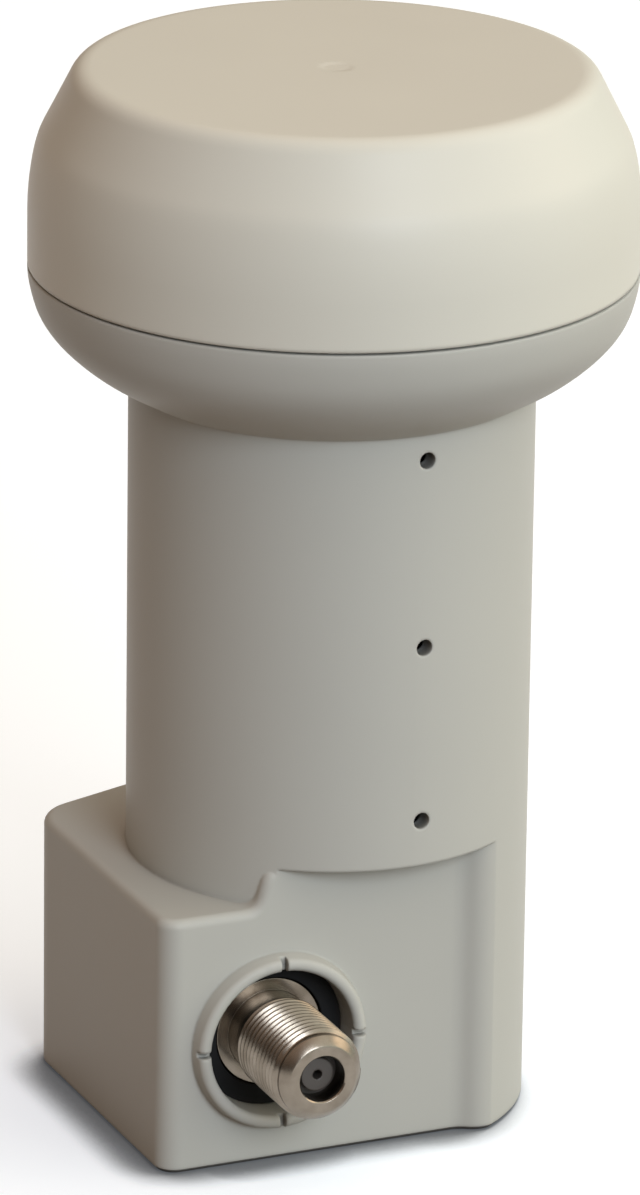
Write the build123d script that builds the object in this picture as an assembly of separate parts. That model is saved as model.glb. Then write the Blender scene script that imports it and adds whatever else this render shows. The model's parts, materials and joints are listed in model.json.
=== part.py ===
from build123d import *
import math
import os

# Turned body: cap, bowl and neck share one axis, the Z axis, with the base plane at Z = 0
NECK_R = 20.0
WALL = 2.0
CAP_R = 29.9
SEAM_Z = 86.8
SEAM_GAP = 0.28
SEAM_DEPTH = 1.1
BOWL_H = 11.9
BOWL_END_Z = SEAM_Z - BOWL_H
BOWL_WALL = 2.4
BOWL_BORE_R = CAP_R - BOWL_WALL
SEAT_DROP = 7.0
SHOULDER_Z = SEAM_Z - SEAT_DROP
SEAT_IN = 6.1
SHOULDER_R = CAP_R - SEAT_IN
SEAT_STEP = 0.8

# Bowl curve: share of the way out from the neck to the cap, share of the bowl's height
BOWL_CURVE = [(0.345, 0.160), (0.626, 0.336), (0.816, 0.504), (0.928, 0.672), (0.982, 0.840)]
BOWL_START_DIR = (3.2, 0, 1.75)

# Feed cap above the seam
CAP_H = 19.65
TOP_Z = SEAM_Z + CAP_H
CAP_WALL = 1.6
DRUM_H = 5.2
DRUM_Z = SEAM_Z + DRUM_H
SHOULDER_LOW_IN = 1.3
SHOULDER_LOW_DROP = 6.5
SHOULDER_TOP_IN = 4.0
SHOULDER_TOP_DROP = 1.2
SHOULDER_BULGE = (0.87, 3.0)
SHOULDER_LOW = (CAP_R - SHOULDER_LOW_IN, TOP_Z - SHOULDER_LOW_DROP)
SHOULDER_TOP = (CAP_R - SHOULDER_TOP_IN, TOP_Z - SHOULDER_TOP_DROP)
SHOULDER_DIR = (SHOULDER_TOP[0] - SHOULDER_LOW[0], 0, SHOULDER_TOP[1] - SHOULDER_LOW[1])
CROWN_IN = 6.0
CROWN_R = CAP_R - CROWN_IN
CROWN_CORNER = 0.6
GATE_R = 1.8
GATE_DEPTH = 0.08

# Box at the foot of the neck, seen in plan: how far it stands out from the neck, and the flat set into it
BOX_OUT = 4.1
BOX_LEFT = NECK_R + BOX_OUT
FLAT_SET = 4.1
FLAT_Y = NECK_R - FLAT_SET
BACK_OUT = 5.05
BACK_DIST = NECK_R + BACK_OUT
BACK_TILT = math.radians(19.5)
BOX_TOP_Z = 26.6
BOX_EDGE_R = 0.9
FRONT_CORNER_R = 2.1
BACK_CORNER_R = 5.0
HIDDEN_X = 5.0
COVE_R = 3.0
COVE_IN = 13.1
COVE_X = NECK_R - COVE_IN
CREST_R = 3.0
CREST_LAP = 0.15
LEDGE_RISE = 4.0
LEDGE_Z = BOX_TOP_Z + LEDGE_RISE
FOOT_CHAMFER = 0.45
SKIRT_H = 8.0
MIN_CORNER_R = 0.6

# Web at the left end of the ledge: where the ledge meets the flat, then its rising upper edge from there
LEDGE_END_X = -math.sqrt(NECK_R ** 2 - FLAT_Y ** 2)
GUSSET_RISE = [(-3.1, -LEDGE_RISE), (-1.5, -LEDGE_RISE / 2), (0.2, 0.0)]
GUSSET_IN = 2.3
GUSSET_LOW = 7.3
GUSSET_DEPTH = 5.6

# Index holes down the front of the neck
INDEX_R = 0.85
INDEX_AZ = -86.0
INDEX_BELOW_BOWL = 2.6
INDEX_OVER_LEDGE = 4.65
INDEX_HIGH_Z = BOWL_END_Z - INDEX_BELOW_BOWL
INDEX_LOW_Z = LEDGE_Z + INDEX_OVER_LEDGE
INDEX_SHARES = [0.0, 0.484, 1.0]

# Connector axis and collar
CONN_IN = 12.2
CONN_X = CONN_IN - BOX_LEFT
CONN_Z = 12.8
COLLAR_R = 9.15
COLLAR_TIP_R = 8.8
COLLAR_BORE_R = 7.6
COLLAR_H = 1.8
COLLAR_ROUND = 0.6
SLIT_W = 0.7
SLIT_DEPTH = 0.9
SEAL_LAP = 1.6
CONN_OUT = 11.3
CONN_END_Y = -FLAT_Y - CONN_OUT
THREAD_R = 4.7625
NOSE_R = 3.8
NOSE_L = 1.1
UNDERCUT_R = 4.3
UNDERCUT_L = 1.2
FLANGE_R = 5.7
FLANGE_T = 1.5
SPIGOT_R = 4.0
MOUTH_R = 2.35
MOUTH_L = 2.4
BORE_R = 3.3
CONTACT_R = 0.75
CONTACT_BORE_R = 0.4
CONTACT_SET = 0.7
CONTACT_SOCKET_L = 6.0
INSULATOR_NOSE_R = 1.7
INSULATOR_NOSE_L = 1.0
PIN_R = 0.4
PIN_TAIL = 4.3

# Clearances
SLIDE = 0.1
LOOSE = 0.3
THREAD_FIT = 0.05
CHASSIS_GAP = 1.7

# Lip of the cap inside the bowl, with its seal groove
LIP_R = BOWL_BORE_R - SLIDE
LIP_T = 1.9
LIP_ROOT = 1.4
LIP_H = 2.6
LIP_LOW_Z = SEAM_Z - LIP_H
SEAL_DEPTH = 1.17
SEAL_IN_R = LIP_R - SEAL_DEPTH
SEAL_DROP = 1.1
SEAL_Z = SEAM_Z - SEAL_DROP
SEAL_GROOVE_H = 1.44

# Chassis, board and shield stack in the box, by height
ROOF_Z = BOX_TOP_Z - WALL
CHASSIS_ROOF = 2.5
CHASSIS_WALL = 2.2
SOCKET_WALL = 3.0
SOCKET_H = 11.7
SOCKET_TOP_Z = ROOF_Z + SOCKET_H
MERGE = 0.2
PAST = 1.0
BOARD_T = 0.8
BOARD_Z = CONN_Z + PIN_R
BOARD_TOP_Z = BOARD_Z + BOARD_T
SHIELD_Z = 3.5
SHIELD_T = 2.0
GASKET_T = 0.6
RIM_Z = SHIELD_Z + SHIELD_T + GASKET_T
GUIDE_GAP = 11.25
GUIDE_R = NECK_R - GUIDE_GAP
GUIDE_WALL = 2.0
TUBE_R = GUIDE_R + GUIDE_WALL
SOCKET_IN_R = TUBE_R + THREAD_FIT
SOCKET_R = SOCKET_IN_R + SOCKET_WALL
HOUSING_IN_Y = -(FLAT_Y - WALL)
CHASSIS_Y = HOUSING_IN_Y + CHASSIS_GAP
CHASSIS_INSET = WALL + CHASSIS_GAP
TRAY_INSET = CHASSIS_INSET + CHASSIS_WALL
POST_R = 2.4
POST_AZ = [196.1, 139.9, 90.0, 50.2, 6.9]
POST_OUT = [6.94, 10.45, 8.25, 8.5, 2.65]
BOARD_POST_R = 2.1
BOARD_POST_AZ = [155.3, 122.0, 42.5]
BOARD_POST_OUT = [4.55, 6.6, 4.04]
POST_HOLE_L = 8.0
BOARD_HOLE_L = 5.0
BOSS_R = 6.4
CUP_WALL = 1.1
CUP_R = GUIDE_R + CUP_WALL
BOSS_DEPTH = 3.0
BOSS_Y = CHASSIS_Y + BOSS_DEPTH
PIN_END_Y = BOSS_Y + PIN_TAIL

# Horn casting
HORN_PLATE_T = 3.0
HORN_SEAT_R = SHOULDER_R - LOOSE
HORN_FLARE = 2.15
HORN_MOUTH_R = GUIDE_R + HORN_FLARE
CHOKE_T = 1.4
CHOKE_RIM = 1.1
CHOKE_PITCH = (HORN_SEAT_R - CHOKE_RIM - CHOKE_T - HORN_MOUTH_R) / 2
CHOKE_RISES = [8.0, 5.5, 3.0]
RIB_COUNT = 6
RIB_T = 1.8
RIB_H = 13.0
RIB_LOW_Z = SHOULDER_Z - RIB_H
RIB_TIP_H = 2.0
ORING_DEPTH = 1.0
ORING_IN_R = TUBE_R - ORING_DEPTH
ORING_RISE = 2.4
ORING_Z = ROOF_Z + ORING_RISE
ORING_GROOVE_H = 1.25

# Screws: shank radius, head radius, head height
M25 = (1.25, 2.3, 1.5)
M2 = (1.0, 1.9, 1.2)
M4_R = 2.0
HEAD_ROUND = 0.4
DRIVE_W = 0.5
DRIVE_DEPTH = 0.8
PCB_SCREW_GRIP = 4.0
COVER_SCREW_GRIP = 6.5
TUNER_OUT = 0.9
TUNER_IN = 5.0
TUNER_SLOT = (0.6, 0.7)

# Base cover and its snap tabs: azimuth of the wall, its distance from the axis, place along it
COVER_T = 1.5
COVER_REBATE = 1.0
TAB_W = 5.0
TAB_T = 1.1
TAB_TOP_Z = 7.4
BEAD_Z = 5.6
BEAD_R = 0.75
POCKET_FIT = 0.15
TABS = [(-90.0, FLAT_Y, 3.0), (180.0, BOX_LEFT, 2.0), (0.0, NECK_R, 4.0)]

# Board tongues and the copper probes on them, measured out from the waveguide axis
TONGUE_W = 3.0
TONGUE_L = 5.35
PROBE_W = 1.2
PROBE_T = 0.15
PROBE_IN = 4.95
PROBE_OUT = 3.45
GATE_W = 2.6
GATE_H = 0.9

# Parts on the underside of the board: azimuth about the waveguide, distance out from its tube, then size
TRANSISTOR_AZ = [166.0, 103.2, 78.6]
TRANSISTOR_OUT = [2.08, 2.6, 2.41]
TRANSISTOR_SIZE = (1.9, 1.9, 0.7)
MIXER_AZ = 138.0
MIXER_OUT = 5.4
MIXER_SIZE = (3.4, 3.4, 0.9)
REGULATOR_AZ = 107.0
REGULATOR_OUT = 6.2
REGULATOR_SIZE = (3.6, 2.6, 1.6)
LEAD_SIZE = (0.5, 0.8, 0.2)
LEAD_PITCH = 1.2
CAPACITOR_AZ = [166.0, 152.1, 120.8, 195.1, 76.3, 94.2, 57.0]
CAPACITOR_OUT = [6.57, 8.04, 3.69, 2.3, 7.4, 5.25, 4.25]
CAPACITOR_SIZE = (1.6, 0.8, 0.8)
CHIP_BEVEL = 0.15
RESONATOR_AZ = [180.0, 66.3]
RESONATOR_OUT = [4.15, 5.19]
PUCK_R = 2.7
PUCK_H = 2.2
SPACER_R = 1.4
SPACER_H = 0.9


def radial(azimuth, distance):
    """Point in plan at a distance from the axis."""
    a = math.radians(azimuth)
    return (distance * math.cos(a), distance * math.sin(a))


def round_tube(azimuths, outs):
    """Points in plan, measured out from the waveguide tube."""
    return [radial(azimuth, TUBE_R + out) for azimuth, out in zip(azimuths, outs)]


POSTS = round_tube(POST_AZ, POST_OUT)
BOARD_POSTS = round_tube(BOARD_POST_AZ, BOARD_POST_OUT)
RESONATORS = round_tube(RESONATOR_AZ, RESONATOR_OUT)


def half_plane_profile(points):
    """Face in the XZ plane from a closed list of (radius, height) points."""
    corners = [(r, 0, z) for r, z in points]
    return make_face(Polyline(*corners, close=True))


def plan_face(inset=0.0):
    """Outline of the box and neck in plan, moved inward by inset."""
    left = -(BOX_LEFT - inset)
    front = -(FLAT_Y - inset)
    right = NECK_R - inset
    back = BACK_DIST - inset
    nx = math.sin(BACK_TILT)
    ny = math.cos(BACK_TILT)
    back_left = (left, (back + nx * left) / ny)
    back_right = (right, (back - nx * right) / ny)
    touch_left = (-back * nx, back * ny)
    touch_right = (back * nx, back * ny)
    edges = [
        Line((left, front), (HIDDEN_X, front)),
        Line((HIDDEN_X, front), (HIDDEN_X, 0)),
        Line((HIDDEN_X, 0), (right, 0)),
        Line((right, 0), back_right),
        Line(back_right, touch_right),
        ThreePointArc(touch_right, (0, back), touch_left),
        Line(touch_left, back_left),
        Line(back_left, (left, front)),
    ]
    face = make_face(edges)
    rounds = [
        ((left, front), FRONT_CORNER_R - inset),
        (back_left, BACK_CORNER_R - inset),
        (back_right, BACK_CORNER_R - inset),
    ]
    for corner, radius in rounds:
        spot = face.vertices().sort_by_distance((corner[0], corner[1], 0))[0]
        face = fillet(spot, max(radius, MIN_CORNER_R))
    return face


def recess_face(inset=0.0):
    """Area in front of the flat, ended on the right by the cove."""
    front = -(FLAT_Y - inset)
    centre_y = -(FLAT_Y + COVE_R)
    depth = 30.0
    span = 60.0
    apron = Pos(COVE_X - span / 2, front - depth / 2) * Rectangle(span, depth)
    cove = Pos(COVE_X, centre_y) * Circle(COVE_R + inset)
    return apron + cove


def crest_centre():
    """Centre of the round that eases the cove into the neck: it touches the cove and just laps the neck."""
    out = NECK_R - CREST_R + CREST_LAP
    cove_out = math.hypot(COVE_X, FLAT_Y + COVE_R)
    cove_azimuth = math.atan2(-(FLAT_Y + COVE_R), COVE_X)
    spread = math.acos((cove_out ** 2 + out ** 2 - (COVE_R + CREST_R) ** 2) / (2 * cove_out * out))
    return radial(math.degrees(cove_azimuth + spread), out)


def eased_recess_face():
    """Recess of the outside skin: flat, then a cove and a rounded crest that run into the neck."""
    cove_centre = (COVE_X, -(FLAT_Y + COVE_R))
    crest = crest_centre()
    share = COVE_R / (COVE_R + CREST_R)
    meet = tuple(a + share * (b - a) for a, b in zip(cove_centre, crest))
    away = math.atan2(crest[1], crest[0])
    tip = (crest[0] + CREST_R * math.cos(away), crest[1] + CREST_R * math.sin(away))
    wedge = make_face(Polyline(cove_centre, meet, crest, tip, (tip[0], cove_centre[1]), close=True))
    return recess_face() + (wedge - Pos(*crest) * Circle(CREST_R))


def whole_plan(inset=0.0):
    """Plan of the box and the neck together, with the flat and cove taken out."""
    return plan_face(inset) + Circle(NECK_R - inset) - recess_face(inset)


def slab(face, low, high):
    """Upright prism of a plan face between two heights."""
    return extrude(Pos(0, 0, low) * face, amount=high - low)


def pillar(x, y, radius, low, high):
    """Upright round post between two heights."""
    return Pos(x, y, (low + high) / 2) * Cylinder(radius, high - low)


def connector_frame():
    """Plane whose normal runs out along the connector, with its origin on the Y = 0 plane."""
    return Plane(origin=(CONN_X, 0, CONN_Z), x_dir=(1, 0, 0), z_dir=(0, -1, 0))


def along_connector(points):
    """Body turned about the connector axis from (radius, Y) points."""
    face = half_plane_profile([(r, -y) for r, y in points])
    return connector_frame() * revolve(face, Axis.Z)


def screw(x, y, head_top, size, length):
    """Pan head screw driven upward: the head's upper face sits at head_top."""
    shank_r, head_r, head_h = size
    low = head_top - head_h
    head = pillar(x, y, head_r, low, head_top)
    low_rim = head.edges().filter_by(GeomType.CIRCLE).sort_by(Axis.Z)[0]
    head = fillet(low_rim, HEAD_ROUND)
    for turn in (0, 90):
        head -= Pos(x, y, low) * Rot(0, 0, turn) * Box(2 * shank_r, DRIVE_W, 2 * DRIVE_DEPTH)
    return head + pillar(x, y, shank_r, head_top, head_top + length)


def tab_place(azimuth, wall, along):
    """Location whose X axis points out through a wall, on the wall's inner side."""
    return Rot(0, 0, azimuth) * Pos(wall - WALL - LOOSE, along, 0)


def snap_tab(azimuth, wall, along):
    """One upright snap tab of the base cover with a half-round bead on its outer side."""
    height = TAB_TOP_Z - COVER_T
    tab = Pos(-TAB_T / 2, 0, COVER_T + height / 2) * Box(TAB_T, TAB_W, height)
    bead = Pos(0, 0, BEAD_Z) * Rot(90, 0, 0) * Cylinder(BEAD_R, TAB_W)
    bead -= Pos(-BEAD_R, 0, BEAD_Z) * Box(2 * BEAD_R, 2 * TAB_W, 4 * BEAD_R)
    return tab_place(azimuth, wall, along) * (tab + bead)


def bead_pocket(azimuth, wall, along):
    """Pocket in the housing wall that a tab's bead springs into."""
    return tab_place(azimuth, wall, along) * Pos(0, 0, BEAD_Z) * Rot(90, 0, 0) * Cylinder(
        BEAD_R + POCKET_FIT, TAB_W + 2 * LOOSE)


def bowl_outline():
    """Closed half section of the bowl and neck, outside skin only, up to the seam."""
    rim_z = SEAM_Z - SEAM_GAP / 2
    reach = CAP_R - NECK_R
    curve = Spline(
        (NECK_R, 0, BOWL_END_Z),
        *[(NECK_R + out * reach, 0, BOWL_END_Z + up * BOWL_H) for out, up in BOWL_CURVE],
        (CAP_R, 0, rim_z),
        tangents=[BOWL_START_DIR, (0, 0, 1)],
    )
    walls = Polyline(
        (CAP_R, 0, rim_z),
        (CAP_R - SEAM_DEPTH, 0, rim_z),
        (CAP_R - SEAM_DEPTH, 0, rim_z + SEAM_GAP),
        (0, 0, rim_z + SEAM_GAP),
        (0, 0, 0),
        (NECK_R, 0, 0),
        (NECK_R, 0, BOWL_END_Z),
    )
    return make_face(curve.edges() + walls.edges())


def gusset():
    """Small web that lifts the flat from the box top to the left end of the ledge."""
    rise_points = [(LEDGE_END_X + dx, 0, LEDGE_Z + dz) for dx, dz in GUSSET_RISE]
    foot = rise_points[0]
    head = rise_points[-1]
    inner_x = LEDGE_END_X + GUSSET_IN
    low_z = LEDGE_Z - GUSSET_LOW
    rise = Spline(*rise_points, tangents=[(1, 0, 0), (1, 0, 0)])
    rest = Polyline(
        head,
        (inner_x, 0, head[2]),
        (inner_x, 0, low_z),
        (foot[0], 0, low_z),
        foot,
    )
    face = make_face(rise.edges() + rest.edges())
    return Pos(0, -FLAT_Y, 0) * extrude(face, amount=GUSSET_DEPTH, dir=(0, 1, 0))


def foot_box():
    """Box at the foot of the neck with its web, and one even round along the upper edge of both."""
    box = slab(plan_face(), SKIRT_H, BOX_TOP_Z) + gusset()
    web_x = LEDGE_END_X + GUSSET_RISE[0][0] - MERGE
    upper = box.edges().filter_by_position(Axis.Z, BOX_TOP_Z, BOX_TOP_Z)
    rim = upper.filter_by(lambda edge: edge.center().X < web_x or edge.center().Y > MERGE)
    web_edge = box.edges().filter_by(GeomType.BSPLINE).sort_by(Axis.Y)[0]
    return fillet(rim + [web_edge], BOX_EDGE_R)


def index_pins():
    """Round pins that leave the three index holes in the neck's wall."""
    heights = [INDEX_LOW_Z + share * (INDEX_HIGH_Z - INDEX_LOW_Z) for share in INDEX_SHARES]
    out = Rot(0, 0, INDEX_AZ) * Pos(NECK_R, 0, 0) * Rot(0, 90, 0)
    return [Pos(0, 0, z) * out * Cylinder(INDEX_R, 4 * WALL) for z in heights]


def collar():
    """Raised ring round the connector opening, with a rounded rim and four slits."""
    face_y = -FLAT_Y
    root_y = face_y + WALL / 2
    tip_y = face_y - COLLAR_H
    ring = along_connector([
        (COLLAR_BORE_R, root_y), (COLLAR_R, root_y), (COLLAR_R, face_y), (COLLAR_TIP_R, tip_y),
        (COLLAR_BORE_R, tip_y),
    ])
    tip_edges = ring.edges().filter_by(GeomType.CIRCLE).group_by(Axis.Y)[0]
    ring = fillet(tip_edges, COLLAR_ROUND)
    for turn in (0, 90):
        slit = Pos(CONN_X, tip_y, CONN_Z) * Rot(0, turn, 0)
        ring -= slit * Box(2 * (COLLAR_R + PAST), 2 * SLIT_DEPTH, SLIT_W)
    return ring


def cavity():
    """Inside of the housing as one solid: base rebate, box, neck and the stepped bore of the bowl."""
    bore_r = NECK_R - WALL
    low = ROOF_Z - MERGE
    bore = half_plane_profile([
        (0, low), (bore_r, low), (bore_r, SHOULDER_Z), (SHOULDER_R, SHOULDER_Z),
        (SHOULDER_R, SHOULDER_Z + SEAT_STEP), (BOWL_BORE_R, LIP_LOW_Z - SEAT_STEP / 4),
        (BOWL_BORE_R, SEAM_Z + PAST), (0, SEAM_Z + PAST),
    ])
    neck = revolve(bore, Axis.Z) - slab(recess_face(WALL), low - PAST, LEDGE_Z + WALL)
    room = slab(whole_plan(WALL), COVER_T - MERGE, ROOF_Z)
    rebate = slab(whole_plan(COVER_REBATE), -PAST, COVER_T)
    return neck + room + rebate


def outer_housing():
    skin = revolve(bowl_outline(), Axis.Z)
    skin -= index_pins()
    skin += slab(plan_face(), 0, SKIRT_H)
    skin -= slab(eased_recess_face(), -PAST, LEDGE_Z)
    foot = skin.faces().sort_by(Axis.Z)[0]
    skin = chamfer(foot.outer_wire().edges(), FOOT_CHAMFER)
    skin += foot_box()
    skin += collar()
    skin -= cavity()
    inner_y = HOUSING_IN_Y + PAST
    tip_y = -FLAT_Y - COLLAR_H
    skin -= along_connector([(0, inner_y), (COLLAR_BORE_R, inner_y), (COLLAR_BORE_R, tip_y), (0, tip_y)])
    for tab in TABS:
        skin -= bead_pocket(*tab)
    return skin


def feed_cap():
    """Turned cap: flat crown, conical shoulder, drum, and an inner lip with the seal groove."""
    low = SEAM_Z + SEAM_GAP / 2
    crown_in_z = TOP_Z - CAP_WALL
    drum = Line((CAP_R, 0, low), (CAP_R, 0, DRUM_Z))
    turn = Spline(
        (CAP_R, 0, DRUM_Z),
        (SHOULDER_LOW[0] + SHOULDER_BULGE[0], 0, SHOULDER_LOW[1] - SHOULDER_BULGE[1]),
        (SHOULDER_LOW[0], 0, SHOULDER_LOW[1]),
        tangents=[(0, 0, 1), SHOULDER_DIR],
    )
    shoulder = Line((SHOULDER_LOW[0], 0, SHOULDER_LOW[1]), (SHOULDER_TOP[0], 0, SHOULDER_TOP[1]))
    brow = Spline(
        (SHOULDER_TOP[0], 0, SHOULDER_TOP[1]),
        (CROWN_R, 0, TOP_Z),
        tangents=[SHOULDER_DIR, (-1, 0, 0)],
    )
    inside = Polyline(
        (CROWN_R, 0, TOP_Z),
        (GATE_R, 0, TOP_Z),
        (GATE_R * 0.6, 0, TOP_Z - GATE_DEPTH),
        (0, 0, TOP_Z - GATE_DEPTH),
        (0, 0, crown_in_z),
        (CROWN_R - CROWN_CORNER, 0, crown_in_z),
        (SHOULDER_LOW[0] - CAP_WALL, 0, SHOULDER_LOW[1] - CROWN_CORNER),
        (CAP_R - CAP_WALL, 0, DRUM_Z),
        (CAP_R - CAP_WALL, 0, low + LIP_ROOT + CROWN_CORNER),
        (LIP_R - LIP_T, 0, low + LIP_ROOT),
        (LIP_R - LIP_T, 0, LIP_LOW_Z),
        (LIP_R, 0, LIP_LOW_Z),
        (LIP_R, 0, SEAL_Z - SEAL_GROOVE_H / 2),
        (SEAL_IN_R, 0, SEAL_Z - SEAL_GROOVE_H / 2),
        (SEAL_IN_R, 0, SEAL_Z + SEAL_GROOVE_H / 2),
        (LIP_R, 0, SEAL_Z + SEAL_GROOVE_H / 2),
        (LIP_R, 0, low),
        (CAP_R, 0, low),
    )
    face = make_face(drum.edges() + turn.edges() + shoulder.edges() + brow.edges() + inside.edges())
    return revolve(face, Axis.Z)


def cap_seal():
    section = (BOWL_BORE_R - SEAL_IN_R) / 2
    return Pos(0, 0, SEAL_Z) * Torus(SEAL_IN_R + section, section)


def horn_casting():
    """Scalar horn: choke rings on a plate, six ribs and the waveguide tube that screws into the chassis."""
    plate = SHOULDER_Z
    floor = plate + HORN_PLATE_T
    groove_low = ORING_Z - ORING_GROOVE_H / 2
    groove_high = ORING_Z + ORING_GROOVE_H / 2
    points = [
        (GUIDE_R, ROOF_Z), (TUBE_R, ROOF_Z), (TUBE_R, groove_low), (ORING_IN_R, groove_low),
        (ORING_IN_R, groove_high), (TUBE_R, groove_high), (TUBE_R, plate), (HORN_SEAT_R, plate),
        (HORN_SEAT_R, floor),
    ]
    for ring in (2, 1):
        inner = HORN_MOUTH_R + ring * CHOKE_PITCH
        outer = inner + CHOKE_T
        height = SEAM_Z + CHOKE_RISES[ring]
        points += [(outer, floor), (outer, height), (inner, height), (inner, floor)]
    mouth_out = HORN_MOUTH_R + CHOKE_T
    mouth_z = SEAM_Z + CHOKE_RISES[0]
    points += [(mouth_out, floor), (mouth_out, mouth_z), (HORN_MOUTH_R, mouth_z), (GUIDE_R, plate)]
    casting = revolve(half_plane_profile(points), Axis.Z)
    root_r = TUBE_R - MERGE
    tip_r = NECK_R - WALL - 2 * LOOSE
    rib = half_plane_profile([
        (root_r, RIB_LOW_Z), (root_r, plate + MERGE), (tip_r, plate + MERGE), (tip_r, plate - RIB_TIP_H),
    ])
    for azimuth in range(0, 360, 360 // RIB_COUNT):
        blade = Pos(0, RIB_T / 2, 0) * extrude(rib, amount=RIB_T, dir=(0, -1, 0))
        casting += Rot(0, 0, azimuth) * blade
    return casting


def horn_o_ring():
    section = (SOCKET_IN_R - ORING_IN_R) / 2
    return Pos(0, 0, ORING_Z) * Torus(ORING_IN_R + section, section)


def chassis():
    """Die-cast tray, open downward, with the waveguide collar, posts and connector boss."""
    under = ROOF_Z - CHASSIS_ROOF
    tray = slab(whole_plan(CHASSIS_INSET), RIM_Z, ROOF_Z)
    tray -= slab(whole_plan(TRAY_INSET), RIM_Z - PAST, under)
    tray += pillar(0, 0, TUBE_R, BOARD_TOP_Z, under + MERGE)
    tray += pillar(0, 0, SOCKET_R, ROOF_Z - MERGE, SOCKET_TOP_Z)
    inside = slab(whole_plan(CHASSIS_INSET + MERGE), RIM_Z, under + MERGE)
    for x, y in POSTS:
        tray += pillar(x, y, POST_R, RIM_Z, under + MERGE) & inside
    for x, y in BOARD_POSTS:
        tray += pillar(x, y, BOARD_POST_R, BOARD_TOP_Z, under + MERGE)
    boss_y = CHASSIS_Y + MERGE
    spigot_hole_r = SPIGOT_R + THREAD_FIT
    tray += along_connector([(0, boss_y), (BOSS_R, boss_y), (BOSS_R, BOSS_Y), (0, BOSS_Y)])
    tray -= along_connector([
        (0, CHASSIS_Y - PAST), (spigot_hole_r, CHASSIS_Y - PAST),
        (spigot_hole_r, BOSS_Y + PAST), (0, BOSS_Y + PAST),
    ])
    tray -= pillar(0, 0, GUIDE_R, BOARD_TOP_Z - PAST, ROOF_Z + PAST)
    tray -= pillar(0, 0, SOCKET_IN_R, ROOF_Z, SOCKET_TOP_Z + PAST)
    for x, y in POSTS:
        tray -= pillar(x, y, M25[0] + THREAD_FIT, RIM_Z - PAST, RIM_Z + POST_HOLE_L)
    for x, y in BOARD_POSTS:
        tray -= pillar(x, y, M2[0] + THREAD_FIT, BOARD_TOP_Z - PAST, BOARD_TOP_Z + BOARD_HOLE_L)
    return tray


def pcb():
    """Board round the waveguide, with two tongues that carry the probes into it."""
    sheet = whole_plan(TRAY_INSET + LOOSE)
    window = Circle(GUIDE_R)
    window -= Pos(-GUIDE_R, 0) * Rectangle(2 * TONGUE_L, TONGUE_W)
    window -= Pos(0, GUIDE_R) * Rectangle(TONGUE_W, 2 * TONGUE_L)
    sheet -= window
    notch_w = 2 * BOSS_R + 2 * LOOSE
    notch_l = 10.0
    sheet -= Pos(CONN_X, BOSS_Y + LOOSE - notch_l / 2) * Rectangle(notch_w, notch_l)
    for x, y in POSTS:
        sheet -= Pos(x, y) * Circle(POST_R + LOOSE)
    for x, y in BOARD_POSTS:
        sheet -= Pos(x, y) * Circle(M2[0] + SLIDE)
    board = slab(sheet, BOARD_Z, BOARD_TOP_Z)
    return board.solids().sort_by(SortBy.VOLUME)[-1]


def pcb_screws():
    made = []
    for x, y in BOARD_POSTS:
        made.append(screw(x, y, BOARD_Z, M2, BOARD_T + PCB_SCREW_GRIP))
    return Compound(children=made)


def polarity_probes():
    length = PROBE_IN + PROBE_OUT
    mid = GUIDE_R - PROBE_IN + length / 2
    z = BOARD_Z - PROBE_T / 2
    across = Pos(-mid, 0, z) * Box(length, PROBE_W, PROBE_T)
    along = Pos(0, mid, z) * Box(PROBE_W, length, PROBE_T)
    return Compound(children=[across, along])


def chip(x, y, size):
    """Surface part hung under the board."""
    w, d, h = size
    return Pos(x, y, BOARD_Z - h / 2) * Box(w, d, h)


def bevelled_chip(x, y, size):
    """Chip whose lower edges are bevelled as moulded packages are."""
    body = chip(x, y, size)
    return chamfer(body.edges().group_by(Axis.Z)[0], CHIP_BEVEL)


def lna_transistors():
    spots = round_tube(TRANSISTOR_AZ, TRANSISTOR_OUT)
    return Compound(children=[bevelled_chip(x, y, TRANSISTOR_SIZE) for x, y in spots])


def mixer_chip():
    x, y = radial(MIXER_AZ, TUBE_R + MIXER_OUT)
    return bevelled_chip(x, y, MIXER_SIZE)


def voltage_regulator():
    x, y = radial(REGULATOR_AZ, TUBE_R + REGULATOR_OUT)
    body = bevelled_chip(x, y, REGULATOR_SIZE)
    lead_y = y - (REGULATOR_SIZE[1] + LEAD_SIZE[1]) / 2
    for step in (-1, 0, 1):
        body += chip(x + step * LEAD_PITCH, lead_y, LEAD_SIZE)
    return body


def chip_capacitors():
    spots = round_tube(CAPACITOR_AZ, CAPACITOR_OUT)
    return Compound(children=[chip(x, y, CAPACITOR_SIZE) for x, y in spots])


def resonator_spacers():
    return Compound(children=[pillar(x, y, SPACER_R, BOARD_Z - SPACER_H, BOARD_Z) for x, y in RESONATORS])


def dielectric_resonators():
    high = BOARD_Z - SPACER_H
    return Compound(children=[pillar(x, y, PUCK_R, high - PUCK_H, high) for x, y in RESONATORS])


def shield_cover():
    top = SHIELD_Z + SHIELD_T
    plate = slab(whole_plan(CHASSIS_INSET), SHIELD_Z, top)
    cup = pillar(0, 0, CUP_R, top - MERGE, BOARD_Z) - pillar(0, 0, GUIDE_R, top, BOARD_Z + PAST)
    gate_l = 2 * (CUP_R - GUIDE_R + PAST)
    cup -= Pos(-CUP_R, 0, BOARD_Z) * Box(gate_l, GATE_W, 2 * GATE_H)
    cup -= Pos(0, CUP_R, BOARD_Z) * Box(GATE_W, gate_l, 2 * GATE_H)
    cover = plate + cup
    for x, y in POSTS:
        cover -= pillar(x, y, M25[0] + SLIDE, SHIELD_Z - PAST, top + PAST)
    for x, y in RESONATORS:
        cover -= pillar(x, y, M4_R + THREAD_FIT, SHIELD_Z - PAST, top + PAST)
    return cover


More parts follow.
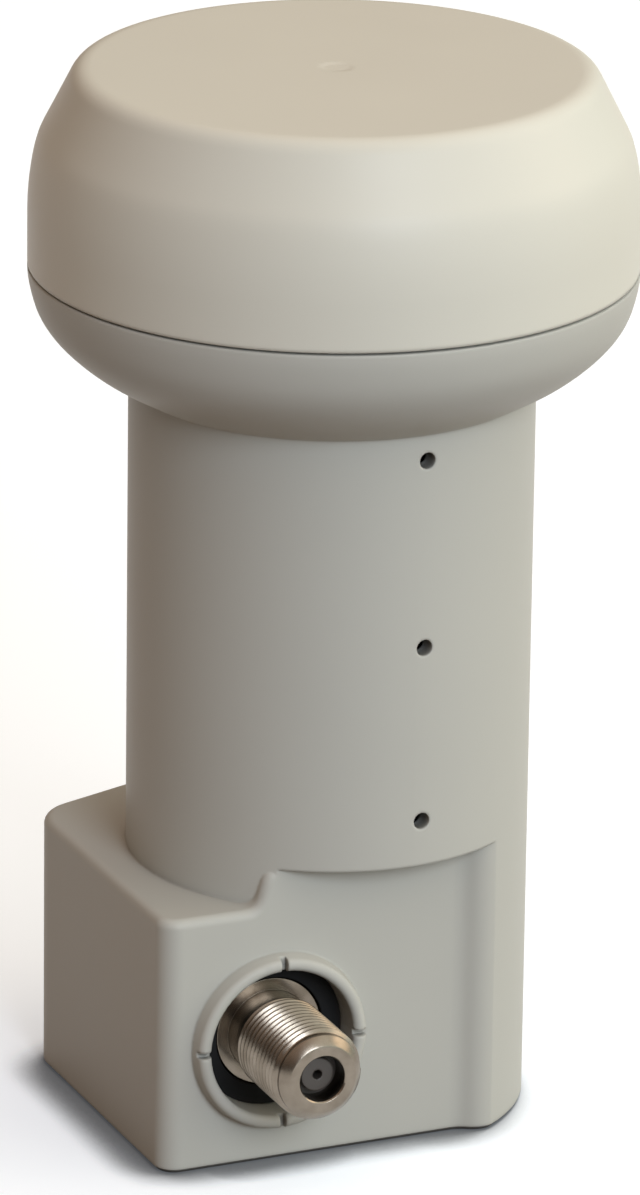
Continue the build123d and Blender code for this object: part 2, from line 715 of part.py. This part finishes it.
def cover_gasket():
    low = SHIELD_Z + SHIELD_T
    ring = whole_plan(CHASSIS_INSET) - whole_plan(TRAY_INSET)
    for x, y in POSTS:
        ring += (Pos(x, y) * Circle(POST_R)) & whole_plan(CHASSIS_INSET)
    ring -= Circle(TUBE_R + SLIDE)
    for x, y in POSTS:
        ring -= Pos(x, y) * Circle(M25[0] + SLIDE)
    return slab(ring, low, low + GASKET_T)


def cover_screws():
    length = SHIELD_T + GASKET_T + COVER_SCREW_GRIP
    return Compound(children=[screw(x, y, SHIELD_Z, M25, length) for x, y in POSTS])


def tuning_screws():
    made = []
    for x, y in RESONATORS:
        low = SHIELD_Z - TUNER_OUT
        slot_w, slot_depth = TUNER_SLOT
        body = pillar(x, y, M4_R, low, SHIELD_Z + TUNER_IN)
        body -= Pos(x, y, low) * Box(2 * M4_R + PAST, slot_w, 2 * slot_depth)
        made.append(body)
    return Compound(children=made)


def base_cover():
    cover = slab(whole_plan(COVER_REBATE + SLIDE), 0, COVER_T)
    for tab in TABS:
        cover += snap_tab(*tab)
    return cover


def connector_body():
    front = CHASSIS_Y - FLANGE_T
    end = CONN_END_Y
    return along_connector([
        (MOUTH_R, end), (NOSE_R, end), (THREAD_R, end + NOSE_L), (THREAD_R, front - UNDERCUT_L),
        (UNDERCUT_R, front - UNDERCUT_L), (UNDERCUT_R, front), (FLANGE_R, front), (FLANGE_R, CHASSIS_Y),
        (SPIGOT_R, CHASSIS_Y), (SPIGOT_R, BOSS_Y), (BORE_R, BOSS_Y), (BORE_R, end + MOUTH_L),
        (MOUTH_R, end + MOUTH_L),
    ])


def connector_insulator():
    front = CONN_END_Y + MOUTH_L
    seat = front + CONTACT_SET
    tip = front - INSULATOR_NOSE_L
    hole_r = CONTACT_BORE_R + SLIDE
    return along_connector([
        (CONTACT_R, BOSS_Y), (BORE_R, BOSS_Y), (BORE_R, front), (INSULATOR_NOSE_R, front),
        (INSULATOR_NOSE_R, tip), (hole_r, tip), (hole_r, seat), (CONTACT_R, seat),
    ])


def centre_contact():
    front = CONN_END_Y + MOUTH_L + CONTACT_SET
    socket_end = front + CONTACT_SOCKET_L
    return along_connector([
        (CONTACT_BORE_R, front), (CONTACT_R, front), (CONTACT_R, BOSS_Y), (PIN_R, BOSS_Y), (PIN_R, PIN_END_Y),
        (0, PIN_END_Y), (0, socket_end), (CONTACT_BORE_R, socket_end),
    ])


def connector_seal():
    outer = COLLAR_BORE_R + SEAL_LAP
    return along_connector([
        (FLANGE_R, CHASSIS_Y), (outer, CHASSIS_Y), (outer, HOUSING_IN_Y), (FLANGE_R, HOUSING_IN_Y),
    ])


NODES = {
    "outer_housing": outer_housing,
    "feed_cap": feed_cap,
    "cap_seal": cap_seal,
    "horn_casting": horn_casting,
    "horn_o_ring": horn_o_ring,
    "chassis": chassis,
    "pcb": pcb,
    "pcb_screws": pcb_screws,
    "polarity_probes": polarity_probes,
    "lna_transistors": lna_transistors,
    "mixer_chip": mixer_chip,
    "voltage_regulator": voltage_regulator,
    "chip_capacitors": chip_capacitors,
    "resonator_spacers": resonator_spacers,
    "dielectric_resonators": dielectric_resonators,
    "shield_cover": shield_cover,
    "cover_gasket": cover_gasket,
    "cover_screws": cover_screws,
    "tuning_screws": tuning_screws,
    "base_cover": base_cover,
    "connector_body": connector_body,
    "connector_insulator": connector_insulator,
    "centre_contact": centre_contact,
    "connector_seal": connector_seal,
}

os.makedirs("parts", exist_ok=True)
for name, make in NODES.items():
    export_step(make(), "parts/" + name + ".step")
    print(name)
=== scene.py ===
# %% [markdown]
# # A satellite low-noise block
#
# The object is a receiver that sits at the focus of a satellite dish: a drum-shaped feed cap, a round neck that the
# dish arm's clamp grips, and a foot box with a coaxial connector. Its shape comes from the solid model, so this
# script adds the looks: moulded plastic, plated metal, a fine thread, the floor, the light and the camera.

# %% Load the solid model
import json
import math

import bmesh
import bpy
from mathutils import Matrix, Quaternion, Vector


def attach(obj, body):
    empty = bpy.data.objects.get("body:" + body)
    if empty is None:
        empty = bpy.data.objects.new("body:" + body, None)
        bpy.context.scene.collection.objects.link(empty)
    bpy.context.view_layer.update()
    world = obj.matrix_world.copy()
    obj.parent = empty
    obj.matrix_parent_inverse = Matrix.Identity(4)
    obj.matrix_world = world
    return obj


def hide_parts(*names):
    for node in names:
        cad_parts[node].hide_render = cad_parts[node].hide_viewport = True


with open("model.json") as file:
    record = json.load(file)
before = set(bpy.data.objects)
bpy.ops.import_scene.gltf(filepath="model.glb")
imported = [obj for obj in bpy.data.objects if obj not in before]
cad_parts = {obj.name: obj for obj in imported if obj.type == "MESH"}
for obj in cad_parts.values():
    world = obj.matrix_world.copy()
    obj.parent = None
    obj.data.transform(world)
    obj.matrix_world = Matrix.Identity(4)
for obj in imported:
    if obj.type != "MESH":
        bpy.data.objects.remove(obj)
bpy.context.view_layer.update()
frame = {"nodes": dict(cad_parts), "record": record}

MM = 0.001
nodes = frame["nodes"]
scene = bpy.context.scene

# %% [markdown]
# The photograph is a product shot taken from a little to the left and about 19 degrees above, with a long lens, so
# upright edges hardly converge. The camera was fitted to the outline, the seam, the three holes and the box edges.
# It is turned by under a degree about its own axis, because the object leans that much in the picture. The floor's
# shade and the lamps are placed from the camera too, so its side, front and up directions are kept.

# %% Camera
CAM_AZIMUTH = math.radians(-23.65)
CAM_ELEVATION = math.radians(19.43)
CAM_DISTANCE = 876.25 * MM
CAM_ROLL = math.radians(0.76)
CAM_LENS = 267.17
CAM_SENSOR = 36
AIM_SIDE = -0.92 * MM
AIM_HEIGHT = 51.98 * MM
up = Vector((0, 0, 1))
side = Vector((math.cos(CAM_AZIMUTH), math.sin(CAM_AZIMUTH), 0))
front = Vector((math.sin(CAM_AZIMUTH), -math.cos(CAM_AZIMUTH), 0))
to_camera = front * math.cos(CAM_ELEVATION) + up * math.sin(CAM_ELEVATION)
cam_data = bpy.data.cameras.new("camera")
cam_data.sensor_width = CAM_SENSOR
cam_data.lens = CAM_LENS
cam_data.clip_start = 0.05
cam_data.clip_end = 20
camera = bpy.data.objects.new("camera", cam_data)
camera.location = side * AIM_SIDE + up * AIM_HEIGHT + to_camera * CAM_DISTANCE
camera.rotation_mode = "QUATERNION"
camera.rotation_quaternion = (-to_camera).to_track_quat("-Z", "Y") @ Quaternion((0, 0, 1), CAM_ROLL)
scene.collection.objects.link(camera)
scene.camera = camera
print("camera at", [round(v, 4) for v in camera.location])

# %% [markdown]
# Every finish starts from the same things: a slow drift of tone and a fine grain that the mould or the tool leaves,
# edges that are never perfectly sharp with a painted highlight along them, and painted shade in corners and holes.
# Each material could have its own tree of nodes for them. One shared group is shorter, and each material
# then only states its colour, its gloss and how coarse it is. Two helpers add a node and fill its sockets.

# %% Sockets of the shared surface group
SURFACE_INPUTS = {
    "Colour": (0.5, 0.5, 0.5, 1),
    "Tone drift": 0.04,
    "Drift scale": 60.0,
    "Roughness": 0.45,
    "Roughness drift": 0.06,
    "Grain scale": 2500.0,
    "Grain depth": 0.02,
    "Edge radius": 0.3 * MM,
    "Painted edge highlight": 0.06,
    "Dirt": (0.035, 0.03, 0.026, 1),
    "Dirt share": 0.9,
    "Dirt reach": 1.5 * MM,
    "Dirt top": 1.0,
    "Film": 0.0,
}


def add_node(tree, kind, sockets=None, **settings):
    """Adds a node with its settings, and fills each socket with a plain value or with a link."""
    node = tree.nodes.new("ShaderNode" + kind)
    for name, setting in settings.items():
        setattr(node, name, setting)
    for key, value in (sockets or {}).items():
        if isinstance(value, bpy.types.NodeSocket):
            tree.links.new(value, node.inputs[key])
        else:
            node.inputs[key].default_value = value
    return node


def calculate(tree, operation, *values):
    """Adds a Math node on the given values and returns its output."""
    return add_node(tree, "Math", dict(enumerate(values)), operation=operation).outputs[0]


surface = bpy.data.node_groups.new("surface", "ShaderNodeTree")
for name, value in SURFACE_INPUTS.items():
    kind = "NodeSocketColor" if isinstance(value, tuple) else "NodeSocketFloat"
    surface.interface.new_socket(name=name, in_out="INPUT", socket_type=kind).default_value = value
for name, kind in (("Colour", "Color"), ("Roughness", "Float"), ("Normal", "Vector")):
    surface.interface.new_socket(name=name, in_out="OUTPUT", socket_type="NodeSocket" + kind)
given = surface.nodes.new("NodeGroupInput").outputs
made = surface.nodes.new("NodeGroupOutput").inputs
print("surface inputs:", len(SURFACE_INPUTS))

# %% [markdown]
# A moulded or plated surface is never one flat tone. A soft noise in Object coordinates, which are in metres on every
# piece, lightens and darkens it, and makes it a little more or less glossy. The noise is moved to lie about zero, so
# that the mean stays at the stated colour.

# %% Drift of tone and gloss
place = add_node(surface, "TexCoord").outputs["Object"]
drift = add_node(surface, "TexNoise", {"Vector": place, "Scale": given["Drift scale"], "Detail": 3})
centred = calculate(surface, "SUBTRACT", drift.outputs["Fac"], 0.5)
tone = calculate(surface, "MULTIPLY", centred, given["Tone drift"])
gloss = calculate(surface, "MULTIPLY_ADD", centred, given["Roughness drift"], given["Roughness"])
surface.links.new(gloss, made["Roughness"])
print("drift nodes:", len(surface.nodes))

# %% [markdown]
# Real edges are rounded, and catch the light along a thin line. The solids have their large rounds already, so the
# Bevel node only softens the normal close to an edge. Where that normal leaves the flat one, the colour is lifted a
# little: a painted highlight along every edge.

# %% Soft edges with a painted highlight
EDGE_SAMPLES = 6
EDGE_FLAT = 1.0
EDGE_FULL = 0.8
soft = add_node(surface, "Bevel", {"Radius": given["Edge radius"]}, samples=EDGE_SAMPLES).outputs["Normal"]
flat = add_node(surface, "NewGeometry").outputs["Normal"]
agree = add_node(surface, "VectorMath", {0: soft, 1: flat}, operation="DOT_PRODUCT").outputs["Value"]
edge = add_node(surface, "MapRange", {"Value": agree, "From Min": EDGE_FLAT, "From Max": EDGE_FULL})
# Painted highlight: the colour is lifted close to an edge.
painted_edge_highlight = calculate(surface, "MULTIPLY", edge.outputs["Result"], given["Painted edge highlight"])
gain = calculate(surface, "ADD", calculate(surface, "ADD", tone, painted_edge_highlight), 1.0)
toned = add_node(surface, "VectorMath", {0: given["Colour"], "Scale": gain}, operation="SCALE").outputs["Vector"]
print("with edges:", len(surface.nodes))

# %% [markdown]
# Painted shade darkens the colour in holes, under the ledge and round the collar, where less light falls. Ambient
# occlusion over a couple of millimetres finds those places. The reach, the share and the height below which the shade
# is painted are inputs, and a thin film of tarnish can lie over the whole piece, as on the plated connector.

# %% Painted shade in the corners
PAINTED_SHADE_SAMPLES = 6
PAINTED_SHADE_OPEN = 0.62
PAINTED_SHADE_DEEP = 0.16
# Painted shade: ambient occlusion darkens the colour in corners and holes, below a given height.
corner = add_node(surface, "AmbientOcclusion", {"Distance": given["Dirt reach"]}, samples=PAINTED_SHADE_SAMPLES)
sheltered = add_node(
    surface, "MapRange", {"Value": corner.outputs["AO"], "From Min": PAINTED_SHADE_OPEN, "From Max": PAINTED_SHADE_DEEP},
    interpolation_type="SMOOTHSTEP",
).outputs["Result"]
height = add_node(surface, "SeparateXYZ", {0: place}).outputs["Z"]
below = calculate(surface, "LESS_THAN", height, given["Dirt top"])
share = calculate(surface, "MULTIPLY", below, given["Dirt share"])
film = calculate(surface, "MULTIPLY_ADD", centred, given["Film"], given["Film"])
dirt = calculate(surface, "MULTIPLY_ADD", sheltered, share, film)
# The painted shade and the tarnish film both mix the colour towards this one dark tone.
shaded_and_tarnished = add_node(surface, "Mix", {"Factor": dirt, "A": toned, "B": given["Dirt"]}, data_type="RGBA")
surface.links.new(shaded_and_tarnished.outputs["Result"], made["Colour"])
print("with dirt:", len(surface.nodes))

# %% [markdown]
# The grain is the fine texture of a spark-eroded mould or of a turned part. It is far too fine for geometry, so a
# bump does it, on top of the softened normal.

# %% Grain
BUMP_DISTANCE = 0.1 * MM
grain = add_node(surface, "TexNoise", {"Vector": place, "Scale": given["Grain scale"], "Detail": 2})
bump = add_node(surface, "Bump", {
    "Height": grain.outputs["Fac"], "Strength": given["Grain depth"], "Distance": BUMP_DISTANCE, "Normal": soft,
})
surface.links.new(bump.outputs["Normal"], made["Normal"])
print("surface group nodes:", len(surface.nodes))

# %% [markdown]
# The housing and the cap are satin moulded plastic, the cap a little paler. The connector is nickel plate with a
# brown film, its seal is black rubber, and the rest is what such a unit holds inside: castings, a green board,
# chips, ceramics, copper and brass. Colours come from the record, and the table gives each finish what differs from
# the group's own values.

# %% Materials from the group
FINISHES = {
    # Painted shade: the housing is darkened in its holes, under the ledge and round the collar, up to 80 mm.
    "housing_plastic": dict(roughness=0.46, specular=0.18, tone_drift=0.05, edge_radius=0.45 * MM, painted_edge_highlight=0.10,
                            grain_depth=0.03, dirt_reach=2.2 * MM, dirt_top=80 * MM),
    "cap_plastic": dict(roughness=0.42, specular=0.25, tone_drift=0.04, edge_radius=0.6 * MM, painted_edge_highlight=0.05,
                        grain_depth=0.025, dirt_share=0.0),
    "seal_rubber": dict(roughness=0.75, grain_depth=0.05),
    "connector_rubber": dict(roughness=0.8, specular=0.15, grain_depth=0.05),
    "cast_metal": dict(roughness=0.42, metallic=1.0, grain_scale=1400.0, grain_depth=0.12),
    "screw_steel": dict(roughness=0.3, metallic=1.0, grain_depth=0.04),
    "board_laminate": dict(roughness=0.35, tone_drift=0.15, drift_scale=900.0),
    "copper_strip": dict(roughness=0.28, metallic=1.0),
    "chip_plastic": dict(roughness=0.55, grain_depth=0.06),
    "capacitor_ceramic": dict(roughness=0.5),
    "resonator_ceramic": dict(roughness=0.6, tone_drift=0.08),
    # Painted shade: the connector is darkened in its thread grooves and round the flange; its film is tarnish.
    "connector_nickel": dict(roughness=0.24, metallic=1.0, tone_drift=0.30, drift_scale=420.0, roughness_drift=0.12,
                             grain_depth=0.03, edge_radius=0.12 * MM, painted_edge_highlight=0.05, dirt=(0.06, 0.042, 0.024, 1),
                             dirt_share=1.0, dirt_reach=2.5 * MM, film=0.62),
    "insulator_plastic": dict(roughness=0.4),
    "contact_brass": dict(roughness=0.25, metallic=1.0),
}


def make_material(name, colour, metallic=0.0, specular=0.5, **detail):
    """Puts the surface group in a new material, with this finish's own values."""
    material = bpy.data.materials.new(name)
    material.use_nodes = True
    tree = material.node_tree
    shader = tree.nodes["Principled BSDF"]
    finish = add_node(tree, "Group", node_tree=surface)
    finish.inputs["Colour"].default_value = (*colour, 1)
    for key, value in detail.items():
        finish.inputs[key.replace("_", " ").capitalize()].default_value = value
    shader.inputs["Metallic"].default_value = metallic
    shader.inputs["Specular IOR Level"].default_value = specular
    for made_name, socket in (("Colour", "Base Color"), ("Roughness", "Roughness"), ("Normal", "Normal")):
        tree.links.new(finish.outputs[made_name], shader.inputs[socket])
    return material


slot_colour = {m["slot"]: tuple(m["base_color"]) for m in frame["record"]["materials"]}
materials = {slot: make_material(slot, slot_colour[slot], **finish) for slot, finish in FINISHES.items()}
for part in frame["record"]["subparts"]:
    piece = nodes[part["node"]]
    piece.data.materials.clear()
    piece.data.materials.append(materials[part["material_slot"]])
print("materials:", len(materials))

# %% [markdown]
# The connector is turned from brass bar and nickel plated. Its outline from the mouth to the spigot could be stacked
# up from cylinders, but one closed profile spun about the axis is how a lathe makes it, and leaves no inner walls.
# The mouth is open for the cable's centre wire, and the flange seats on the rubber seal.

# %% Turned core of the connector
CONN_X = -11.9 * MM
CONN_Z = 12.8 * MM
TURN_STEPS = 64
END_Y = -27.2 * MM
FLANGE_Y = -13.7 * MM
SEAT_Y = -12.2 * MM
INNER_Y = -9.2 * MM
CORE_R = 4.32 * MM
MOUTH_R = 2.35 * MM
MOUTH_DEPTH = 2.4 * MM
MOUTH_CHAMFER = 0.15 * MM
FACE_R = 3.4 * MM
FACE_EDGE = 0.15 * MM
FACE_FALL = 0.06 * MM
END_CHAMFER = 0.85 * MM
FLANGE_R = 5.7 * MM
FLANGE_EDGE = 0.2 * MM
SPIGOT_R = 4.0 * MM
INSIDE_R = 3.3 * MM


def spin_profile(bm, points, turns=1.0, advance=0.0):
    """Spins a closed (radius, Y) profile about the connector's axis, moving along by advance at each turn."""
    verts = [bm.verts.new((CONN_X + r, y, CONN_Z)) for r, y in points]
    edges = [bm.edges.new((verts[i], verts[(i + 1) % len(verts)])) for i in range(len(verts))]
    made = bmesh.ops.spin(
        bm, geom=verts + edges, cent=(CONN_X, 0, CONN_Z), axis=(0, 1, 0), dvec=(0, advance / TURN_STEPS, 0),
        angle=2 * math.pi * turns, steps=round(TURN_STEPS * turns), use_merge=advance == 0.0,
    )
    return verts, made["geom_last"]


bm = bmesh.new()
spin_profile(bm, [
    (MOUTH_R, END_Y + MOUTH_DEPTH), (MOUTH_R, END_Y + MOUTH_CHAMFER), (MOUTH_R + MOUTH_CHAMFER, END_Y),
    (FACE_R, END_Y), (FACE_R + FACE_EDGE, END_Y + FACE_FALL), (CORE_R, END_Y + END_CHAMFER), (CORE_R, FLANGE_Y),
    (FLANGE_R - FLANGE_EDGE, FLANGE_Y), (FLANGE_R, FLANGE_Y + FLANGE_EDGE), (FLANGE_R, SEAT_Y),
    (SPIGOT_R, SEAT_Y), (SPIGOT_R, INNER_Y), (INSIDE_R, INNER_Y), (INSIDE_R, END_Y + MOUTH_DEPTH),
])
print("core faces:", len(bm.faces))

# %% [markdown]
# The barrel carries the fine 32-per-inch thread that the cable's nut screws on to. Rings would look much the same from
# afar, but a real thread climbs. So a small V-shaped section is spun along a helix, which is how a thread is cut: the
# tool moves along by one pitch at every turn.

# %% Thread
THREAD_R = 4.74 * MM
THREAD_START = -26.0 * MM
THREAD_END = -16.6 * MM
PITCH = 25.4 / 32 * MM
ROOT_SINK = 0.06 * MM
ROOT_HALF = 0.92 * PITCH / 2
CREST_FALL = 0.03 * MM
CREST_HALF = 0.2 * PITCH / 2
first, last = spin_profile(bm, [
    (CORE_R - ROOT_SINK, THREAD_START - ROOT_HALF), (THREAD_R - CREST_FALL, THREAD_START - CREST_HALF),
    (THREAD_R, THREAD_START), (THREAD_R - CREST_FALL, THREAD_START + CREST_HALF),
    (CORE_R - ROOT_SINK, THREAD_START + ROOT_HALF),
], turns=(THREAD_END - THREAD_START) / PITCH, advance=PITCH)
bm.faces.new(first)
bm.faces.new([g for g in last if isinstance(g, bmesh.types.BMVert)])
print("with thread:", len(bm.faces))

# %% [markdown]
# A cut thread doesn't stop dead: the tool runs out of the metal over about one turn. The crests near both ends are
# drawn in towards the core by how near they are to the end. The finished mesh is merged, turned to face outwards,
# shaded smooth apart from its real edges, and takes the place of the plain barrel of the solid model.

# %% Thread run-out and finished connector
CREST_LOW = CORE_R + 0.02 * MM
CREST_HIGH = THREAD_R + 0.001 * MM
UNDERCUT = 1.2 * MM
SMOOTH_ANGLE = math.radians(35)
MERGE = 1e-7
for v in bm.verts:
    out = Vector((v.co.x - CONN_X, 0, v.co.z - CONN_Z))
    radius = out.length
    if CREST_LOW < radius <= CREST_HIGH and v.co.y < FLANGE_Y - UNDERCUT:
        lead = min(v.co.y - (THREAD_START - PITCH / 2), (THREAD_END + PITCH / 2) - v.co.y) / PITCH
        out *= (CORE_R + (radius - CORE_R) * max(0.0, min(1.0, lead))) / radius
        v.co.x = CONN_X + out.x
        v.co.z = CONN_Z + out.z
bmesh.ops.remove_doubles(bm, verts=bm.verts, dist=MERGE)
bmesh.ops.recalc_face_normals(bm, faces=bm.faces)
mesh = bpy.data.meshes.new("connector_threaded")
bm.to_mesh(mesh)
bm.free()
mesh.materials.append(materials["connector_nickel"])
mesh.shade_smooth()
mesh.set_sharp_from_angle(angle=SMOOTH_ANGLE)
connector = bpy.data.objects.new("connector_threaded", mesh)
scene.collection.objects.link(connector)
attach(connector, "root")
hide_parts("connector_body")
print("connector faces:", len(mesh.polygons))

# %% [markdown]
# The object stands on a plain pale sheet that fills the background. The camera and the metal's reflections see the
# sheet white, with the object's shadow on it. Light that bounces from it on to the object is kept darker and warmer,
# because in the photograph the shaded side is a warm brown, not lit from below.

# %% Floor
FLOOR_HALF = 6.0
bm = bmesh.new()
bmesh.ops.create_grid(bm, x_segments=2, y_segments=2, size=FLOOR_HALF)
floor_mesh = bpy.data.meshes.new("floor")
bm.to_mesh(floor_mesh)
bm.free()
floor = bpy.data.objects.new("floor", floor_mesh)
scene.collection.objects.link(floor)
floor_material = bpy.data.materials.new("floor_sheet")
floor_material.use_nodes = True
floor_mesh.materials.append(floor_material)
tree = floor_material.node_tree
rays = add_node(tree, "LightPath").outputs
seen = rays["Is Camera Ray"]
for kind in ("Is Glossy Ray", "Is Transmission Ray"):
    seen = calculate(tree, "MAXIMUM", seen, rays[kind])
print("floor faces:", len(floor_mesh.polygons))

# %% [markdown]
# Close to its foot the object keeps light off the sheet, in a narrow dark band that leans to the front left in the
# photograph. Soft lamps alone leave it too faint, so ambient occlusion over a few millimetres deepens it, with its
# normal leaning the other way. The same shade dims the sheet's white and its glow.

# %% Floor sheet with a contact shade
CONTACT_REACH = 6.0 * MM
CONTACT_LEAN = (side * 0.36 - front * 0.55 + up * 0.75).normalized()
SHADE_FROM = 0.42
SHADE_TO = 0.9
SHADE_DARK = 0.17
SHEET_WHITE = (0.76, 0.78, 0.79)
SHEET_BOUNCE = (0.20, 0.15, 0.11, 1)
SHEET_GLOW = (0.29, 0.325, 0.365)
lean = add_node(tree, "CombineXYZ", dict(zip("XYZ", CONTACT_LEAN)))
contact = add_node(tree, "AmbientOcclusion", {"Distance": CONTACT_REACH, "Normal": lean.outputs["Vector"]})
shade = add_node(tree, "MapRange", {
    "Value": contact.outputs["AO"], "From Min": SHADE_FROM, "From Max": SHADE_TO, "To Min": SHADE_DARK,
}, interpolation_type="SMOOTHSTEP").outputs["Result"]
white = add_node(tree, "VectorMath", {0: SHEET_WHITE, "Scale": shade}, operation="SCALE")
glow = add_node(tree, "VectorMath", {0: SHEET_GLOW, "Scale": shade}, operation="SCALE")
pick = add_node(tree, "Mix", {"Factor": seen, "A": SHEET_BOUNCE, "B": white.outputs["Vector"]}, data_type="RGBA")
sheet = tree.nodes["Principled BSDF"]
sheet.inputs["Roughness"].default_value = 0.9
sheet.inputs["Specular IOR Level"].default_value = 0.0
tree.links.new(pick.outputs["Result"], sheet.inputs["Base Color"])
tree.links.new(glow.outputs["Vector"], sheet.inputs["Emission Color"])
tree.links.new(seen, sheet.inputs["Emission Strength"])
print("floor nodes:", len(tree.nodes))

# %% [markdown]
# The light is broad and soft. In the photograph the neck runs evenly from brown at its left to pale at its right with
# hardly a cast shadow, so most of the light comes from a bright surround on the right and a warmer one overhead, and
# the left is left dark. Each part of the surround is a soft lobe: brightest along its axis, fading to nothing square
# to it.

# %% Surround
LOBES = [(side, (1.29, 1.51, 1.46)), (up, (0.89, 0.68, 0.54))]
world = bpy.data.worlds.new("surround")
world.use_nodes = True
tree = world.node_tree
way = add_node(tree, "TexCoord").outputs["Generated"]
total = (0.0, 0.0, 0.0)
for axis, colour in LOBES:
    slope = add_node(tree, "VectorMath", {0: way, 1: axis}, operation="DOT_PRODUCT").outputs["Value"]
    level = calculate(tree, "MAXIMUM", slope, 0.0)
    lobe = add_node(tree, "VectorMath", {0: colour, "Scale": level}, operation="SCALE").outputs["Vector"]
    total = add_node(tree, "VectorMath", {0: total, 1: lobe}, operation="ADD").outputs["Vector"]
tree.links.new(total, tree.nodes["Background"].inputs["Color"])
scene.world = world
scene.view_settings.view_transform = "Standard"
print("lobes:", len(LOBES))

# %% [markdown]
# Two lamps finish it. A cool soft box in front, above the camera, gives the broad pale highlight on the cap's
# shoulder, and a warm lamp grazes the right edge. Both are wide disks, because small lamps would cast hard shadows.

# %% Lamps
LAMP_DISTANCE = 1.2
LAMP_AIM = up * 50 * MM


def area_light(name, direction, width, watts, colour):
    """Adds a disk lamp that looks at the object from the given direction."""
    data = bpy.data.lights.new(name, "AREA")
    data.shape = "DISK"
    data.size = width
    data.energy = watts
    data.color = colour
    lamp = bpy.data.objects.new(name, data)
    toward = direction.normalized()
    lamp.location = LAMP_AIM + toward * LAMP_DISTANCE
    lamp.rotation_mode = "QUATERNION"
    lamp.rotation_quaternion = toward.to_track_quat("Z", "Y")
    scene.collection.objects.link(lamp)


area_light("soft_box", front * 0.9 + side * 0.38 + up * 0.46, 0.55, 9.0, (0.77, 0.865, 1.0))
area_light("right_lamp", side * 0.95 - front * 0.1 + up * 0.42, 0.7, 2.4, (1.0, 0.70, 0.43))
print("lamps:", len(bpy.data.lights))
